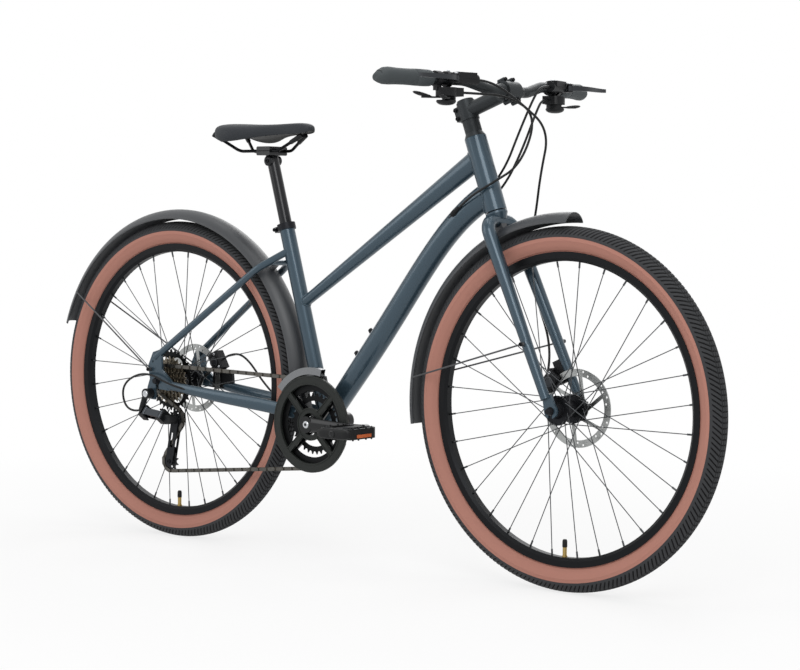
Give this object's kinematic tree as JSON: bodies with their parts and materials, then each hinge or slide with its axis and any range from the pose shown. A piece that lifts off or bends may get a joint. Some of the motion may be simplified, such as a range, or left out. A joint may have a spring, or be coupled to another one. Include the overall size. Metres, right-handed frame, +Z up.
{
  "type": "hybrid bicycle",
  "caption": "Hybrid bicycle with a low sloping frame, disc brakes, full mudguards, riser bar, chain drive and derailleur gears; wheels, steering, cranks and levers move.",
  "frame": {"origin": "on the ground below the middle of the overall length, in the plane of the wheels", "axes": "+X forward, +Y to the rider's left, +Z up"},
  "size_m": [1.8411, 0.7066, 1.0414],
  "materials": {
    "frame_paint": "gloss metallic",
    "black_metal": "black anodised",
    "steel": "bright",
    "black_steel": "satin black",
    "tyre": "matte",
    "rubber": "matte",
    "plastic": "matte",
    "saddle_cover": "matte synthetic cover over foam"
  },
  "bodies": {
    "frame": {"main_frame": "frame_paint", "rear_stays": "frame_paint", "seat_clamp": "black_metal", "bearing_cups": "steel", "rear_axle": "steel", "rear_mudguard": "plastic", "rear_caliper": "black_metal", "front_derailleur_body": "steel", "rear_derailleur_body": "black_metal", "frame_cables": "plastic", "chain": "steel"},
    "steering": {"fork": "frame_paint", "stem": "black_metal", "handlebar": "black_metal", "grips": "rubber", "brake_lever_bodies": "black_metal", "shifter_housings": "plastic", "front_axle": "steel", "front_mudguard": "plastic", "front_caliper": "black_metal", "front_brake_hose": "plastic"},
    "front_wheel": {"front_hub": "black_metal", "front_spokes": "steel", "front_rim": "black_metal", "front_tyre": "tyre", "front_inner_tube": "rubber", "front_rotor": "steel"},
    "rear_wheel": {"rear_hub": "black_metal", "rear_spokes": "steel", "rear_rim": "black_metal", "rear_tyre": "tyre", "rear_inner_tube": "rubber", "rear_rotor": "steel"},
    "cassette": {"cassette": "steel"},
    "crankset": {"right_crank": "black_metal", "left_crank": "black_metal", "chainrings": "steel", "chainguard": "plastic", "crank_spindle": "steel"},
    "seat": {"seatpost": "black_metal", "saddle": "saddle_cover", "saddle_rails": "black_steel"},
    "right_pedal": {"right_pedal": "plastic"},
    "left_pedal": {"left_pedal": "plastic"},
    "derailleur_outer_link": {"derailleur_outer_link": "black_metal"},
    "derailleur_inner_link": {"derailleur_inner_link": "black_metal"},
    "derailleur_knuckle": {"derailleur_knuckle": "black_metal"},
    "derailleur_cage": {"derailleur_cage": "steel"},
    "guide_pulley": {"guide_pulley": "plastic"},
    "tension_pulley": {"tension_pulley": "plastic"},
    "front_derailleur_cage": {"front_derailleur_cage": "steel"},
    "right_brake_lever": {"right_brake_lever": "black_metal"},
    "left_brake_lever": {"left_brake_lever": "black_metal"},
    "right_thumb_lever": {"right_thumb_lever": "plastic"},
    "left_thumb_lever": {"left_thumb_lever": "plastic"},
    "right_release_lever": {"right_release_lever": "plastic"},
    "left_release_lever": {"left_release_lever": "plastic"},
    "front_qr_lever": {"front_qr_lever": "black_metal"},
    "rear_qr_lever": {"rear_qr_lever": "black_metal"}
  },
  "joints": [
    {"name": "steering", "type": "hinge", "parent": "frame", "child": "steering", "pos_m": [0.37127, 0, 0.76386], "axis": [-0.342, 0, 0.9397], "range_deg": [-70, 70], "deforming": ["frame_cables"]},
    {"name": "front_wheel_spin", "type": "hinge", "parent": "steering", "child": "front_wheel", "pos_m": [0.55259, 0, 0.368], "axis": [0, 1, 0], "continuous": true},
    {"name": "rear_wheel_spin", "type": "hinge", "parent": "frame", "child": "rear_wheel", "pos_m": [-0.54441, 0, 0.368], "axis": [0, 1, 0], "continuous": true},
    {"name": "crank_spin", "type": "hinge", "parent": "frame", "child": "crankset", "pos_m": [-0.08641, 0, 0.298], "axis": [0, 1, 0], "continuous": true, "deforming": ["chain"]},
    {"name": "cassette_spin", "type": "hinge", "parent": "frame", "child": "cassette", "pos_m": [-0.54441, 0, 0.368], "axis": [0, 1, 0], "continuous": true},
    {"name": "right_pedal_spin", "type": "hinge", "parent": "crankset", "child": "right_pedal", "pos_m": [0.08359, 0, 0.298], "axis": [0, 1, 0], "continuous": true},
    {"name": "left_pedal_spin", "type": "hinge", "parent": "crankset", "child": "left_pedal", "pos_m": [-0.25641, 0, 0.298], "axis": [0, 1, 0], "continuous": true},
    {"name": "derailleur_shift", "type": "hinge", "parent": "frame", "child": "derailleur_outer_link", "pos_m": [-0.57041, -0.08762, 0.29731], "axis": [0, 0.6157, 0.788], "range_deg": [-24, 38], "deforming": ["chain"]},
    {"name": "derailleur_inner_pivot", "type": "hinge", "parent": "frame", "child": "derailleur_inner_link", "pos_m": [-0.57041, -0.07658, 0.28869], "axis": [0, 0.6157, 0.788], "range_deg": [-24, 38]},
    {"name": "derailleur_knuckle_pivot", "type": "hinge", "parent": "derailleur_outer_link", "child": "derailleur_knuckle", "pos_m": [-0.52762, -0.07952, 0.29099], "axis": [0, 0.6157, 0.788], "range_deg": [-38, 24]},
    {"name": "derailleur_cage_pivot", "type": "hinge", "parent": "derailleur_knuckle", "child": "derailleur_cage", "pos_m": [-0.50641, 0, 0.281], "axis": [0, 1, 0], "range_deg": [-35, 10], "stiffness_Nm_per_rad": 0.6, "deforming": ["chain"]},
    {"name": "guide_pulley_spin", "type": "hinge", "parent": "derailleur_cage", "child": "guide_pulley", "pos_m": [-0.50641, 0, 0.281], "axis": [0, 1, 0], "continuous": true},
    {"name": "tension_pulley_spin", "type": "hinge", "parent": "derailleur_cage", "child": "tension_pulley", "pos_m": [-0.52588, 0, 0.18088], "axis": [0, 1, 0], "continuous": true},
    {"name": "front_derailleur_shift", "type": "hinge", "parent": "frame", "child": "front_derailleur_cage", "pos_m": [-0.10791, -0.031, 0.37298], "axis": [-0.9613, 0, -0.2756], "range_deg": [0, 12], "deforming": ["chain"]},
    {"name": "right_brake_pull", "type": "hinge", "parent": "steering", "child": "right_brake_lever", "pos_m": [0.4152, -0.19428, 1.02365], "axis": [0, 0, -1], "range_deg": [0, 18], "stiffness_Nm_per_rad": 1},
    {"name": "left_brake_pull", "type": "hinge", "parent": "steering", "child": "left_brake_lever", "pos_m": [0.4152, 0.19428, 1.02365], "axis": [0, 0, 1], "range_deg": [0, 18], "stiffness_Nm_per_rad": 1},
    {"name": "right_thumb_shift", "type": "hinge", "parent": "steering", "child": "right_thumb_lever", "pos_m": [0.38425, -0.18592, 0.98915], "axis": [0, 0, -1], "range_deg": [0, 25], "stiffness_Nm_per_rad": 0.3},
    {"name": "left_thumb_shift", "type": "hinge", "parent": "steering", "child": "left_thumb_lever", "pos_m": [0.38425, 0.18592, 0.98915], "axis": [0, 0, 1], "range_deg": [0, 25], "stiffness_Nm_per_rad": 0.3},
    {"name": "right_release_shift", "type": "hinge", "parent": "steering", "child": "right_release_lever", "pos_m": [0.38425, -0.18592, 0.98915], "axis": [0, 0, -1], "range_deg": [0, 14], "stiffness_Nm_per_rad": 0.3},
    {"name": "left_release_shift", "type": "hinge", "parent": "steering", "child": "left_release_lever", "pos_m": [0.38425, 0.18592, 0.98915], "axis": [0, 0, 1], "range_deg": [0, 14], "stiffness_Nm_per_rad": 0.3},
    {"name": "saddle_height", "type": "slide", "parent": "frame", "child": "seat", "axis": [-0.2756, 0, 0.9613], "range_m": [-0.1, 0.05]},
    {"name": "front_quick_release", "type": "hinge", "parent": "steering", "child": "front_qr_lever", "pos_m": [0.55259, 0.066, 0.368], "axis": [0, 0, -1], "range_deg": [0, 170]},
    {"name": "rear_quick_release", "type": "hinge", "parent": "frame", "child": "rear_qr_lever", "pos_m": [-0.54441, 0.0825, 0.368], "axis": [0, 0, -1], "range_deg": [0, 170]}
  ],
  "couplings": [
    {"joint": "cassette_spin", "follows": "crank_spin", "ratio": 2.8235},
    {"joint": "guide_pulley_spin", "follows": "crank_spin", "ratio": -4.3636},
    {"joint": "tension_pulley_spin", "follows": "crank_spin", "ratio": 4.3636},
    {"joint": "derailleur_inner_pivot", "follows": "derailleur_shift", "ratio": 1},
    {"joint": "derailleur_knuckle_pivot", "follows": "derailleur_shift", "ratio": -1}
  ]
}
